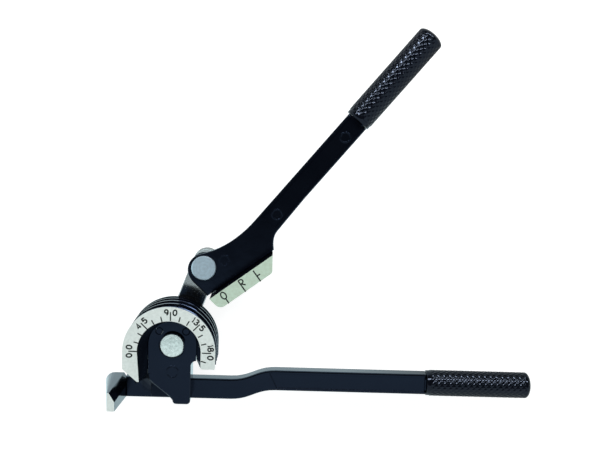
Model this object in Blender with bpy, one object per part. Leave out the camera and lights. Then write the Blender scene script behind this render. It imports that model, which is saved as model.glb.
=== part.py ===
"""Hand lever tube bender that takes four tube sizes.

The tool lies on its back: the dial looks up (+Z), the forming wheel turns about the Z axis through the
origin, and the lower handle runs along +X. Lengths are in metres. All sizes that drive the model come first.
"""
import math

import bmesh
import bpy
from mathutils import Matrix, Vector

mm = 0.001
full_turn = 2.0 * math.pi

# Clearances
fit_gap = 0.3 * mm
swing_gap = 0.6 * mm
overrun = 1.0 * mm

# Tubes that the tool bends, from the dial side to the back
tube_sizes = (9.525 * mm, 7.9375 * mm, 6.35 * mm, 4.7625 * mm)
groove_wall = 1.1 * mm
groove_mouth = 0.15 * mm

# Forming wheel
wheel_radius = 30.0 * mm
dial_band = 9.4 * mm
bore_draft = 4.3 * mm
bore_depth = 19.5 * mm
web_thickness = 2.8 * mm
finish_run = 10.8 * mm
start_run = 11.8 * mm
tail_run = 20.2 * mm
tail_tip_width = 1.4 * mm
tail_flare = 1.6 * mm
wheel_end_round = 0.9 * mm

# Lower handle
bar_width = 14.4 * mm
bar_thickness = 10.2 * mm
bar_past_wheel = 5.05 * mm
bar_edge = 1.1 * mm
bend_start = 39.0 * mm
bend_run = 31.0 * mm
bend_rise = 7.05 * mm
leg_right = 12.5 * mm
leg_foot_lift = 0.75 * mm
leg_edge = 0.5 * mm
foot_round = 2.4 * mm
gusset_reach = 29.0 * mm
gusset_sink = 0.1 * mm
gusset_top_drop = 0.5 * mm
panel_depth = 0.9 * mm
panel_wall_lean_share = 0.35
panel_rim = 2.2 * mm
panel_slant = 5.0 * mm
panel_margin = 1.2 * mm
lower_panel_start = 66.0 * mm

# Jaw that holds the tube at the left end of the lower handle
jaw_face_width = 4.9 * mm
jaw_back_width = 16.6 * mm
jaw_cut_width = 3.7 * mm
jaw_cut_height = 6.2 * mm
jaw_bottom_rise = 1.6 * mm
jaw_top_drop = 0.4 * mm
jaw_back_round = 6.5 * mm
jaw_front_round = 0.5 * mm

# Grips
grip_radius = 9.0 * mm
grip_length = 74.0 * mm
grip_bore_radius = 7.1 * mm
grip_end_wall = 5.0 * mm
grip_end_round = 4.2 * mm
grip_dome = 1.1 * mm
grip_collar = 2.4 * mm
grip_collar_step = 0.35 * mm
grip_pass_gap = 0.4 * mm
lower_grip_start = 175.5 * mm

# Pivot pins and what holds them
pin_radius = 4.0 * mm
pin_head_edge = 0.5 * mm
pin_end_edge = 0.5 * mm
pin_tail = 1.9 * mm
main_head_rise = 3.1 * mm
upper_head_rise = 1.9 * mm
counterbore_share = 0.58
counterbore_gap = 1.2 * mm
counterbore_depth = 1.5 * mm
main_washer_radius = 8.6 * mm
upper_washer_radius = 9.2 * mm
inner_washer_thickness = 1.0 * mm
outer_washer_thickness = 1.2 * mm
ring_thickness = 1.0 * mm
ring_outer_radius = 6.4 * mm
ring_groove_depth = 0.8 * mm
ring_mouth = 4.4 * mm
dowel_share = 0.343
dowel_edge = 0.3 * mm

# Link
link_width = 18.4 * mm
link_thickness = 8.0 * mm
link_edge = 0.6 * mm
link_angle = math.radians(69.35)

# Upper handle, measured from its pivot; its own +X runs along the arm
arm_angle = math.radians(50.6)
arm_offset = 12.0 * mm
arm_width = 15.0 * mm
arm_thickness = 10.2 * mm
arm_draft = 0.9 * mm
arm_edge = 0.9 * mm
hub_radius = 11.0 * mm
hub_centre_back = 1.0 * mm
hub_centre_drop = 1.2 * mm
hub_boss_radius = 9.2 * mm
hub_leave_angle = 53.0
back_blend_end = 46.0 * mm
heel_reach = 9.2 * mm
toe_overhang = 1.2 * mm
toe_rise = 4.0 * mm
shoulder_start = 50.5 * mm
shoulder_pull = 4.5 * mm
shoulder_end = 78.0 * mm
shoulder_swell = 0.85 * mm
upper_grip_start = 138.8 * mm
upper_panel_start = 51.0 * mm

# Forming shoe, in its own frame: u runs along the working edge, w from the pivot towards the wheel
shoe_angle = math.radians(-13.6)
shoe_reach = 26.4 * mm
shoe_clearance = 0.6 * mm
shoe_band = 9.3 * mm
shoe_toe = 36.6 * mm
shoe_heel_top = 6.3 * mm
shoe_heel_low = 4.6 * mm
shoe_heel_round = 4.5 * mm
shoe_toe_round = 3.0 * mm
shoe_toe_top = 43.4 * mm
shoe_foot_start = 12.0 * mm
shoe_foot_end = 34.0 * mm
shoe_foot_width = 12.1 * mm
shoe_foot_end_gap = 0.5 * mm
shoe_foot_thickness = 5.3 * mm
screw_radius = 2.0 * mm
screw_head_radius = 3.8 * mm
screw_head_sink = 1.9 * mm
screw_length = 10.0 * mm
screw_socket_radius = 1.3 * mm
screw_socket_depth = 1.2 * mm
screw_margin = 5.5 * mm

# Faces used to draw round forms
round_steps = 32
wheel_steps = 40
groove_steps = 8
corner_steps = 5

# Places that follow from the sizes above
bore_face_radius = wheel_radius - dial_band
bore_floor_radius = bore_face_radius - bore_draft
boss_radius = bore_floor_radius - fit_gap
counterbore_radius = counterbore_share * boss_radius
pin_head_radius = counterbore_radius - counterbore_gap
dowel_radius = dowel_share * (boss_radius - counterbore_radius)
dowel_reach = math.sqrt(1 / 2) * (boss_radius + counterbore_radius) / 2
bar_drop = wheel_radius + bar_past_wheel
bar_top = -bar_drop + bar_width / 2
bar_bottom = -bar_drop - bar_width / 2
link_length = wheel_radius + shoe_clearance + shoe_reach
shoe_top = shoe_reach - shoe_band
shoe_foot_top = shoe_top - shoe_foot_width
hole_radius = pin_radius + fit_gap
panel_lean = panel_wall_lean_share * (panel_depth + overrun)

# Heights, stacked up from the plane on which the tool lies
ring_low = pin_tail
ring_high = ring_low + ring_thickness
outer_washer_low = ring_high + fit_gap
outer_washer_high = outer_washer_low + outer_washer_thickness
link_low = outer_washer_high + fit_gap
link_high = link_low + link_thickness
inner_washer_low = link_high + fit_gap
inner_washer_high = inner_washer_low + inner_washer_thickness
wheel_back = inner_washer_high + fit_gap
wheel_depth = sum(tube_sizes) + (len(tube_sizes) + 1) * groove_wall
dial_height = wheel_back + wheel_depth
boss_low = wheel_back + web_thickness + fit_gap
floor_height = dial_height - bore_depth
main_head_high = floor_height + main_head_rise
main_head_low = floor_height - counterbore_depth + fit_gap
grip_height = grip_radius
bar_low = grip_height - bar_thickness / 2
bar_high = grip_height + bar_thickness / 2
arm_middle = grip_height + 2 * grip_radius + grip_pass_gap
arm_low = arm_middle - arm_thickness / 2
arm_high = arm_middle + arm_thickness / 2
upper_head_low = arm_high + fit_gap
upper_head_high = arm_high + upper_head_rise
shoe_low = max(bar_high, wheel_back) + swing_gap


def arc(centre_x, centre_y, radius, start, end, steps):
    """Points along a circle from the start angle to the end angle, in degrees."""
    points = []
    for step in range(steps + 1):
        angle = math.radians(start + (end - start) * step / steps)
        points.append((centre_x + radius * math.cos(angle), centre_y + radius * math.sin(angle)))
    return points


def curve(first, first_pull, last_pull, last, steps):
    """Points along a cubic curve that leaves first towards first_pull and reaches last from last_pull."""
    points = []
    for step in range(steps + 1):
        t = step / steps
        weights = ((1 - t) ** 3, 3 * t * (1 - t) ** 2, 3 * t * t * (1 - t), t ** 3)
        corners = (first, first_pull, last_pull, last)
        x = sum(weight * corner[0] for weight, corner in zip(weights, corners))
        y = sum(weight * corner[1] for weight, corner in zip(weights, corners))
        points.append((x, y))
    return points


def rounded(points, radius, steps=corner_steps):
    """Replaces each corner of a closed outline that has a radius by a tangent arc."""
    result = []
    count = len(points)
    for index in range(count):
        corner = Vector(points[index])
        size = radius[index] if isinstance(radius, (list, tuple)) else radius
        if size <= 0:
            result.append(tuple(corner))
            continue
        before = (Vector(points[index - 1]) - corner).normalized()
        after = (Vector(points[(index + 1) % count]) - corner).normalized()
        half = math.acos(max(-1.0, min(1.0, before.dot(after)))) / 2
        middle = corner + (before + after).normalized() * size / math.sin(half)
        start = corner + before * size / math.tan(half) - middle
        end = corner + after * size / math.tan(half) - middle
        sweep = start.angle_signed(end)
        for step in range(steps + 1):
            turned = start.copy()
            turned.rotate(Matrix.Rotation(-sweep * step / steps, 2))
            result.append(tuple(middle + turned))
    return result


def inset(points, distance):
    """The same closed outline, drawn anticlockwise, moved inwards by a distance with mitred corners."""
    result = []
    count = len(points)
    for index in range(count):
        here = Vector(points[index])
        before = (here - Vector(points[index - 1])).normalized()
        after = (Vector(points[(index + 1) % count]) - here).normalized()
        normal_before = Vector((-before.y, before.x))
        normal_after = Vector((-after.y, after.x))
        mitre = normal_before + normal_after
        scale = distance / max(mitre.dot(normal_after), 1 / 2)
        result.append(tuple(here + mitre * scale))
    return result


def loft_mesh(rings):
    """A closed solid through rings of equal point count, each given as (points, height), lowest first."""
    mesh = bmesh.new()
    rows = []
    for points, height in rings:
        rows.append([mesh.verts.new((point[0], point[1], height)) for point in points])
    for low, high in zip(rows, rows[1:]):
        for index in range(len(low)):
            following = (index + 1) % len(low)
            mesh.faces.new((low[index], low[following], high[following], high[index]))
    mesh.faces.new(list(reversed(rows[0])))
    mesh.faces.new(rows[-1])
    return mesh


def blended(first, second, share):
    """The outline that lies a share of the way from the first to the second, point by point."""
    return [(a[0] + (b[0] - a[0]) * share, a[1] + (b[1] - a[1]) * share) for a, b in zip(first, second)]


def cast_rings(points, low, high, edge, draft=0):
    """Rings of a flat casting with rounded edges, drawn in towards its back by the draft."""
    quarter = (0.0, math.pi / 4, math.pi / 2)
    rings = []
    for angle in quarter:
        back = inset(points, draft + edge * (1 - math.sin(angle)))
        rings.append((back, low + edge * (1 - math.cos(angle))))
    for angle in reversed(quarter):
        rings.append((inset(points, edge * (1 - math.sin(angle))), high - edge * (1 - math.cos(angle))))
    return rings


def turned_mesh(profile, steps=round_steps, places=((0, 0),)):
    """A solid turned about +Z at each place, from a closed profile of (radius, height), anticlockwise."""
    mesh = bmesh.new()
    for x, y in places:
        rows = []
        for radius, height in profile:
            if radius == 0:
                rows.append([mesh.verts.new((x, y, height))])
                continue
            row = []
            for step in range(steps):
                angle = full_turn * step / steps
                row.append(mesh.verts.new((x + radius * math.cos(angle), y + radius * math.sin(angle), height)))
            rows.append(row)
        for index in range(len(rows)):
            join_rows(mesh, rows[index], rows[(index + 1) % len(rows)], steps)
    return mesh


def join_rows(mesh, first, second, steps):
    """Faces between two rows of a turned solid; a row of one point lies on the axis."""
    if len(first) == 1 and len(second) == 1:
        return
    for step in range(steps):
        following = (step + 1) % steps
        if len(first) == 1:
            mesh.faces.new((first[0], second[following], second[step]))
        elif len(second) == 1:
            mesh.faces.new((first[step], first[following], second[0]))
        else:
            mesh.faces.new((first[step], first[following], second[following], second[step]))


def material(name, colour, roughness, metallic):
    """A Principled material."""
    made = bpy.data.materials.new(name)
    made.use_nodes = True
    shader = made.node_tree.nodes["Principled BSDF"]
    shader.inputs["Base Color"].default_value = (*colour, 1)
    shader.inputs["Roughness"].default_value = roughness
    shader.inputs["Metallic"].default_value = metallic
    return made


def make(name, mesh, finish, parent=None, smooth=True):
    """An object from a bmesh, with its material, shading and parent."""
    data = bpy.data.meshes.new(name)
    bmesh.ops.triangulate(mesh, faces=[face for face in mesh.faces if len(face.verts) == 4])
    bmesh.ops.recalc_face_normals(mesh, faces=mesh.faces)
    mesh.to_mesh(data)
    mesh.free()
    made = bpy.data.objects.new(name, data)
    bpy.context.scene.collection.objects.link(made)
    if finish:
        data.materials.append(finish)
    if smooth:
        data.shade_smooth()
        data.set_sharp_from_angle(angle=math.radians(35))
    made.parent = parent
    return made


def joined(base, tool, operation):
    """Adds a Boolean to base; the tool stays as a hidden guide."""
    tool.hide_render = True
    tool.display_type = "WIRE"
    step = base.modifiers.new(operation.lower() + "_" + tool.name, "BOOLEAN")
    step.operation = operation
    step.solver = "EXACT"
    step.object = tool


def hinge(name, parent, place, angle):
    """An empty on a joint's axis; what moves with the joint hangs from it."""
    made = bpy.data.objects.new(name, None)
    bpy.context.scene.collection.objects.link(made)
    made.parent = parent
    made.location = place
    made.rotation_euler = (0, 0, angle)
    return made


for old in list(bpy.data.objects):
    bpy.data.objects.remove(old, do_unlink=True)

paint = material("black_paint", (0.012, 0.016, 0.024), 0.28, 0.0)
grip_plastic = material("grip_plastic", (0.01, 0.012, 0.018), 0.35, 0.0)
plated = material("plated_steel", (0.6, 0.62, 0.64), 0.2, 1.0)
turned_steel = material("turned_steel", (0.66, 0.7, 0.7), 0.32, 1.0)
spring_steel = material("spring_steel", (0.1, 0.1, 0.11), 0.35, 1.0)

link_pivot = hinge("link_pivot", None, (0, 0, 0), link_angle)
upper_pivot = hinge("upper_pivot", link_pivot, (link_length, 0, 0), arm_angle - link_angle)


def groove_profile():
    """Half-round grooves as (inward depth, height) pairs, from the back of the wheel up to the dial."""
    points = [(0, dial_height)]
    height = dial_height - groove_wall
    for tube in tube_sizes:
        radius = tube / 2
        for step in range(groove_steps + 1):
            angle = math.pi * step / groove_steps
            depth = radius * math.sin(angle)
            across = (radius - groove_mouth * math.sin(angle)) * math.cos(angle)
            points.append((depth, height - radius + across))
        height -= tube + groove_wall
    points.append((0, wheel_back))
    return list(reversed(points))


# Forming wheel: a grooved section carried round a U-shaped path and cut to a tail at its start
def wheel_section(flare, pinch):
    """The ring's section as (distance from the path's middle line, height), anticlockwise."""
    outer = [(wheel_radius - pinch - depth, height) for depth, height in groove_profile()]
    inner = [
        (bore_face_radius + pinch - flare, dial_height),
        (bore_floor_radius + pinch, floor_height),
        (bore_floor_radius + pinch, wheel_back),
    ]
    return outer + inner


def wheel_path():
    """Stations of the U-shaped path: a direction out of the middle line, a shift along Y, the flare of the
    bore and the pinch that rounds the far end."""
    stations = [((-1.0, 0.0), -tail_run - overrun, tail_flare, 0)]
    for step in range(wheel_steps + 1):
        angle = math.pi * (1 - step / wheel_steps)
        stations.append(((math.cos(angle), math.sin(angle)), 0, 0, 0))
    for angle in (0.0, math.pi / 6, math.pi / 3, math.pi / 2):
        shift = -finish_run + wheel_end_round * (1 - math.sin(angle))
        stations.append(((1.0, 0.0), shift, 0, wheel_end_round * (1 - math.cos(angle))))
    return stations


wheel_mesh = bmesh.new()
wheel_rows = []
for (out_x, out_y), shift, flare, pinch in wheel_path():
    section = wheel_section(flare, pinch)
    wheel_rows.append([wheel_mesh.verts.new((r * out_x, r * out_y + shift, z)) for r, z in section])
for here, there in zip(wheel_rows, wheel_rows[1:]):
    for index in range(len(here)):
        following = (index + 1) % len(here)
        wheel_mesh.faces.new((here[index], here[following], there[following], there[index]))
wheel_mesh.faces.new(list(reversed(wheel_rows[0])))
wheel_mesh.faces.new(wheel_rows[-1])
forming_wheel = make("forming_wheel", wheel_mesh, paint)

# The wheel's web closes the back of the bore; the lower handle's boss sits on it
web_outline = arc(0, 0, bore_floor_radius + overrun, 0, 180, wheel_steps)
web_outline += [(-bore_floor_radius - overrun, -finish_run), (bore_floor_radius + overrun, -finish_run)]
web = make("wheel_web", loft_mesh([(web_outline, wheel_back), (web_outline, wheel_back + web_thickness)]), None)
joined(forming_wheel, web, "UNION")

# The tail is cut to a slope, so that the tube leaves the jaw freely
tail_tip = bore_face_radius - tail_flare + tail_tip_width
tail_cut_points = [
    (-wheel_radius - overrun, -start_run + overrun * (tail_run - start_run) / (wheel_radius - tail_tip)),
    (-wheel_radius - overrun, -tail_run - overrun - overrun),
    (-boss_radius + overrun, -tail_run - overrun - overrun),
    (-boss_radius + overrun, -tail_run),
    (-tail_tip, -tail_run),
]
tail_cut_rings = [(tail_cut_points, wheel_back - overrun), (tail_cut_points, dial_height + overrun)]
tail_cut = make("tail_cut", loft_mesh(tail_cut_rings), None)
joined(forming_wheel, tail_cut, "DIFFERENCE")


def hole_tool(name, places, low, high, radius, parent=None):
    """Round cutters along Z at several places."""
    return make(name, turned_mesh([(0, low), (radius, low), (radius, high), (0, high)], places=places), None, parent)


dowel_places = ((-dowel_reach, dowel_reach), (dowel_reach, dowel_reach))
centre = (0, 0)
wheel_bore = hole_tool("wheel_bore", (centre,), wheel_back - overrun, boss_low + overrun, hole_radius)
joined(forming_wheel, wheel_bore, "DIFFERENCE")
wheel_seats = hole_tool(
    "wheel_dowel_seats", dowel_places, wheel_back - overrun, boss_low + overrun, dowel_radius + fit_gap)
joined(forming_wheel, wheel_seats, "DIFFERENCE")

# Lower handle: one casting with the boss, leg, jaw, bar with its double bend, and tang
tang_half = math.sqrt((grip_bore_radius - fit_gap) ** 2 - (bar_thickness / 2) ** 2)
tang_end = lower_grip_start + grip_length - grip_end_wall - fit_gap
handle_middle = -bar_drop + bend_rise
bend_end = bend_start + bend_run
bend_pull_share = 0.45
jaw_inner_front = wheel_radius + tube_sizes[0] / 2
jaw_inner_back = wheel_radius + tube_sizes[-1] / 2

bar_points = [
    (-jaw_inner_back - overrun, bar_bottom),
    *curve(
        (bend_start, bar_bottom), (bend_start + bend_pull_share * bend_run, bar_bottom),
        (bend_end - bend_pull_share * bend_run, bar_bottom + bend_rise), (bend_end, bar_bottom + bend_rise),
        2 * corner_steps),
    (lower_grip_start - fit_gap, bar_bottom + bend_rise),
    (lower_grip_start - fit_gap, handle_middle - tang_half),
    (tang_end, handle_middle - tang_half),
    (tang_end, handle_middle + tang_half),
    (lower_grip_start - fit_gap, handle_middle + tang_half),
    (lower_grip_start - fit_gap, bar_top + bend_rise),
    *curve(
        (bend_end, bar_top + bend_rise), (bend_end - bend_pull_share * bend_run, bar_top + bend_rise),
        (bend_start + bend_pull_share * bend_run, bar_top), (bend_start, bar_top), 2 * corner_steps),
    (-jaw_inner_back - overrun, bar_top),
]
lower_handle = make("lower_handle", loft_mesh(cast_rings(bar_points, bar_low, bar_high, bar_edge)), paint)

# The boss closes the wheel's bore: a round head with flat sides
boss_side = finish_run + fit_gap
leg_fillet = boss_radius - leg_right
leg_start = -tail_run - fit_gap
boss_points = [
    *arc(0, 0, boss_radius, 0, 180, wheel_steps),
    (-boss_radius, leg_start),
    (leg_right - leg_fillet, leg_start),
    *arc(boss_radius, -boss_side - leg_fillet, leg_fillet, 180, 90, corner_steps),
]
boss = make("boss", loft_mesh([(boss_points, boss_low), (boss_points, floor_height)]), None)
joined(lower_handle, boss, "UNION")

# The leg carries the boss on the bar and flares into the bar's front with a wide hollow fillet
leg_side_shares = ((0.0, 0.0), (0.03, 0.21), (0.16, 0.37), (0.5, 0.74), (0.58, 0.87), (0.6, 1.0))
gusset_side_shares = ((0.0, 0.0), (0.04, 0.36), (0.19, 0.76), (0.5, 0.96), (0.65, 0.98), (0.7, 1.0))
leg_foot = bar_bottom + leg_foot_lift


def leg_outline(reach, top, side_shares):
    """The leg's outline at one height: straight on the right, stepping in towards the foot on the left."""
    width = leg_right + reach
    height = top - leg_foot
    points = [(leg_right, leg_foot), (leg_right, -boss_side - leg_fillet)]
    points += [(-reach + across * width, top - down * height) for across, down in side_shares]
    radii = [foot_round] + [0] * len(side_shares) + [foot_round]
    return rounded(points, radii)


leg_top = leg_outline(boss_radius, leg_start, leg_side_shares)
leg_base = leg_outline(gusset_reach, bar_top - gusset_top_drop, gusset_side_shares)
gusset_low = bar_high - gusset_sink
gusset_rise = floor_height - leg_edge - gusset_low
leg_rings = [(leg_base, bar_high - overrun)]
for step in range(corner_steps + 2):
    angle = math.pi / 2 * step / (corner_steps + 1)
    outline = blended(leg_top, leg_base, 1 - math.sin(angle))
    leg_rings.append((outline, gusset_low + gusset_rise * (1 - math.cos(angle))))
leg_rings.append((inset(leg_top, leg_edge), floor_height))
leg = make("leg", loft_mesh(leg_rings), None)
joined(lower_handle, leg, "UNION")

# The leg also reaches back beside the link, almost level with the back of the bar
heel_points = [
    (leg_right - leg_edge, bar_bottom + bar_edge + leg_edge),
    (leg_right - leg_edge, -boss_side),
    (-boss_radius + leg_edge, -boss_side),
    (-boss_radius + leg_edge, bar_bottom + bar_edge + leg_edge),
]
heel_rings = cast_rings(heel_points, bar_low + leg_edge, boss_low + bar_edge, bar_edge)
heel_block = make("heel_block", loft_mesh(heel_rings), None)
joined(lower_handle, heel_block, "UNION")


def jaw_outline(inner, width, low, high, outer_round):
    """The jaw's section at one height: flat towards the wheel, cut off above, rounded at the far top."""
    outer = inner + width
    points = [
        (-outer, low),
        (-inner, low),
        (-inner, high - jaw_cut_height),
        (-inner - jaw_cut_width, high),
        (-outer, high),
    ]
    return rounded(points, [0, 0, 0, 0, outer_round])


jaw_back = jaw_outline(jaw_inner_back, jaw_back_width, bar_bottom, bar_top, jaw_back_round)
jaw_front = jaw_outline(
    jaw_inner_front, jaw_face_width, bar_bottom + jaw_bottom_rise, bar_top - jaw_top_drop, jaw_front_round)
jaw_rings = [
    (inset(jaw_back, bar_edge / 2), bar_low),
    (jaw_back, bar_low + bar_edge / 2),
    (jaw_front, dial_height),
]
jaw = make("jaw", loft_mesh(jaw_rings), None)
joined(lower_handle, jaw, "UNION")

lower_panel_end = lower_grip_start - fit_gap - panel_margin
lower_panel_points = [
    (lower_panel_start, handle_middle + bar_width / 2 - panel_rim),
    (lower_panel_start + panel_slant, handle_middle - bar_width / 2 + panel_rim),
    (lower_panel_end, handle_middle - bar_width / 2 + panel_rim),
    (lower_panel_end, handle_middle + bar_width / 2 - panel_rim),
]
lower_panel_rings = [
    (lower_panel_points, bar_high - panel_depth),
    (inset(lower_panel_points, -panel_lean), bar_high + overrun),
]
lower_panel = make("lower_panel", loft_mesh(lower_panel_rings), None)
joined(lower_handle, lower_panel, "DIFFERENCE")

boss_seats = hole_tool(
    "boss_dowel_seats", dowel_places, boss_low - overrun, floor_height + overrun, dowel_radius + fit_gap)
joined(lower_handle, boss_seats, "DIFFERENCE")
main_seat_floor = floor_height - counterbore_depth
main_hole_profile = [
    (0, boss_low - overrun),
    (hole_radius, boss_low - overrun),
    (hole_radius, main_seat_floor),
    (counterbore_radius, main_seat_floor),
    (counterbore_radius, floor_height + overrun),
    (0, floor_height + overrun),
]
main_hole = make("main_hole", turned_mesh(main_hole_profile), None)
joined(lower_handle, main_hole, "DIFFERENCE")

# Dowels: they keep the wheel from turning on the boss
for side, place in zip(("left", "right"), dowel_places):
    dowel_profile = [
        (0, wheel_back),
        (dowel_radius - dowel_edge, wheel_back),
        (dowel_radius, wheel_back + dowel_edge),
        (dowel_radius, floor_height - dowel_edge),
        (dowel_radius - dowel_edge, floor_height),
        (0, floor_height),
    ]
    dowel = make("wheel_dowel_" + side, turned_mesh(dowel_profile, round_steps // 2), turned_steel)
    dowel.location = (*place, 0)


# Grips: moulded sleeves pushed over the tangs
def grip_profile():
    """A blind sleeve from its open end at zero to its rounded end, anticlockwise."""
    end = grip_length
    collar_radius = grip_radius - grip_collar_step
    profile = [(grip_bore_radius, 0), (collar_radius, 0), (collar_radius, grip_collar)]
    profile.append((grip_radius, grip_collar + grip_collar_step))
    for step in range(corner_steps + 1):
        angle = math.pi / 2 * step / corner_steps
        profile.append((
            grip_radius - grip_end_round * (1 - math.cos(angle)),
            end - grip_dome - grip_end_round * (1 - math.sin(angle)) / 2))
    profile.append((0, end))
    profile.append((0, end - grip_end_wall))
    profile.append((grip_bore_radius, end - grip_end_wall))
    return profile


def grip(name, parent, place):
    """A grip along +X at a place in its handle's frame."""
    sleeve = make(name, turned_mesh(grip_profile(), round_steps), grip_plastic, parent)
    sleeve.location = place
    sleeve.rotation_euler = (0, math.pi / 2, 0)
    return sleeve


grip("lower_grip", None, (lower_grip_start, handle_middle, grip_height))


# Pivot pins, washers and retaining rings
def pivot_pin(name, parent, place, head_low, head_high):
    """A headed pin with a groove for its retaining ring and a flat back end at height zero."""
    groove_radius = pin_radius - ring_groove_depth
    profile = [
        (0, 0), (pin_radius - pin_end_edge, 0), (pin_radius, pin_end_edge),
        (pin_radius, ring_low - fit_gap), (groove_radius, ring_low - fit_gap),
        (groove_radius, ring_high + fit_gap), (pin_radius, ring_high + fit_gap),
        (pin_radius, head_low), (pin_head_radius, head_low), (pin_head_radius, head_high - pin_head_edge),
        (pin_head_radius - pin_head_edge, head_high), (0, head_high)]
    pin = make(name, turned_mesh(profile), turned_steel, parent)
    pin.location = place
    return pin


def washer(name, parent, place, low, high, radius):
    """A flat round washer on a pin."""
    profile = [(hole_radius, low), (radius, low), (radius, high), (hole_radius, high)]
    made = make(name, turned_mesh(profile), plated, parent)
    made.location = place
    return made


def retaining_ring(name, parent, place):
    """An open spring ring that snaps into the pin's groove."""
    inner = pin_radius - ring_groove_depth + fit_gap
    half_mouth = math.degrees(math.asin(ring_mouth / 2 / ring_outer_radius))
    half_inner = math.degrees(math.asin(ring_mouth / 2 / inner))
    outline = arc(0, 0, ring_outer_radius, -90 + half_mouth, 270 - half_mouth, round_steps)
    outline += arc(0, 0, inner, 270 - half_inner, -90 + half_inner, round_steps)
    made = make(name, loft_mesh([(outline, ring_low), (outline, ring_high)]), spring_steel, parent)
    made.location = place
    return made


origin = (0, 0, 0)
pivot_pin("main_pivot_pin", None, origin, main_head_low, main_head_high)
pivot_pin("upper_pivot_pin", upper_pivot, origin, upper_head_low, upper_head_high)
for name, parent, radius in (("main", None, main_washer_radius), ("upper", upper_pivot, upper_washer_radius)):
    washer(name + "_inner_washer", parent, origin, inner_washer_low, inner_washer_high, radius)
    washer(name + "_outer_washer", parent, origin, outer_washer_low, outer_washer_high, radius)
    retaining_ring(name + "_retaining_ring", parent, origin)

# Link: a flat plated bar with round ends, from the wheel's axis to the upper pivot
link_points = arc(link_length, 0, link_width / 2, -90, 90, round_steps // 2)
link_points += arc(0, 0, link_width / 2, 90, 270, round_steps // 2)
link_arm = make("link_arm", loft_mesh(cast_rings(link_points, link_low, link_high, link_edge)), plated, link_pivot)
link_places = (centre, (link_length, 0))
link_holes = hole_tool("link_holes", link_places, link_low - overrun, link_high + overrun, hole_radius, link_pivot)
joined(link_arm, link_holes, "DIFFERENCE")


# Upper handle: one casting with the hub, the wide root that carries the shoe, the arm and the tang
def from_shoe(u, w):
    """A point of the shoe's frame in the upper handle's own frame."""
    cosine = math.cos(shoe_angle)
    sine = math.sin(shoe_angle)
    return (u * cosine + w * sine, u * sine - w * cosine)


arm_top = -arm_offset + arm_width / 2
arm_bottom = -arm_offset - arm_width / 2
arm_tang_half = math.sqrt((grip_bore_radius - fit_gap) ** 2 - (arm_thickness / 2) ** 2)
arm_tang_end = upper_grip_start + grip_length - grip_end_wall - fit_gap
root_line = shoe_top - fit_gap
heel_corner = from_shoe(-heel_reach, root_line)
toe_corner = from_shoe(shoe_toe_top + toe_overhang, root_line)
toe_pull = from_shoe(shoe_toe_top + toe_overhang + toe_rise / 2, root_line - toe_rise)
shoulder_low = arm_bottom - shoulder_swell
back_pull_share = 0.36
hub_points = arc(-hub_centre_back, -hub_centre_drop, hub_radius, hub_leave_angle, 180.0, round_steps // 2)
hub_leave = hub_points[0]
back_pull = back_pull_share * (back_blend_end - hub_leave[0])
leave_slope = math.radians(hub_leave_angle - 90.0)
hub_pull = (hub_leave[0] + back_pull * math.cos(leave_slope), hub_leave[1] + back_pull * math.sin(leave_slope))
root_points = [
    *hub_points,
    heel_corner,
    *curve(
        toe_corner, toe_pull, (shoulder_start - shoulder_pull, shoulder_low), (shoulder_start, shoulder_low),
        2 * corner_steps),
    (shoulder_end, arm_bottom),
    (upper_grip_start - fit_gap, arm_bottom),
    (upper_grip_start - fit_gap, -arm_offset - arm_tang_half),
    (arm_tang_end, -arm_offset - arm_tang_half),
    (arm_tang_end, -arm_offset + arm_tang_half),
    (upper_grip_start - fit_gap, -arm_offset + arm_tang_half),
    (upper_grip_start - fit_gap, arm_top),
    *curve((back_blend_end, arm_top), (back_blend_end - back_pull, arm_top), hub_pull, hub_leave,
           2 * corner_steps)[:-1],
]
root_rings = cast_rings(root_points, arm_low, arm_high, arm_edge, arm_draft)
upper_handle = make("upper_handle", loft_mesh(root_rings), paint, upper_pivot)

hub_circle = arc(0, 0, hub_boss_radius, 0, 360, round_steps)[:-1]
hub_boss = make(
    "hub_boss", loft_mesh([(hub_circle, wheel_back), (hub_circle, arm_low + overrun)]), None, upper_pivot)
joined(upper_handle, hub_boss, "UNION")
hub_hole = hole_tool("hub_hole", (centre,), wheel_back - overrun, arm_high + overrun, hole_radius, upper_pivot)
joined(upper_handle, hub_hole, "DIFFERENCE")

upper_panel_end = upper_grip_start - fit_gap - panel_margin
upper_panel_points = [
    (upper_panel_start, arm_top - panel_rim),
    (upper_panel_start, arm_bottom + panel_rim),
    (upper_panel_end, arm_bottom + panel_rim),
    (upper_panel_end, arm_top - panel_rim),
]
upper_panel_rings = [
    (upper_panel_points, arm_high - panel_depth),
    (inset(upper_panel_points, -panel_lean), arm_high + overrun),
]
upper_panel = make("upper_panel", loft_mesh(upper_panel_rings), None, upper_pivot)
joined(upper_handle, upper_panel, "DIFFERENCE")
grip("upper_grip", upper_pivot, (upper_grip_start, -arm_offset, arm_middle))

# Forming shoe: a grooved block that stands proud of the arm, with a foot under it for two screws
shoe_outline = rounded(
    [
        (-shoe_heel_top, shoe_top),
        (-shoe_heel_low, shoe_reach),
        (shoe_toe, shoe_reach),
        (shoe_toe_top, shoe_top),
    ],
    [0, shoe_heel_round, shoe_toe_round, 0])
shoe_outline = [from_shoe(u, w) for u, w in shoe_outline]
shoe_mesh = loft_mesh([(shoe_outline, shoe_low), (shoe_outline, dial_height)])
forming_shoe = make("forming_shoe", shoe_mesh, paint, upper_pivot)

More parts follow.
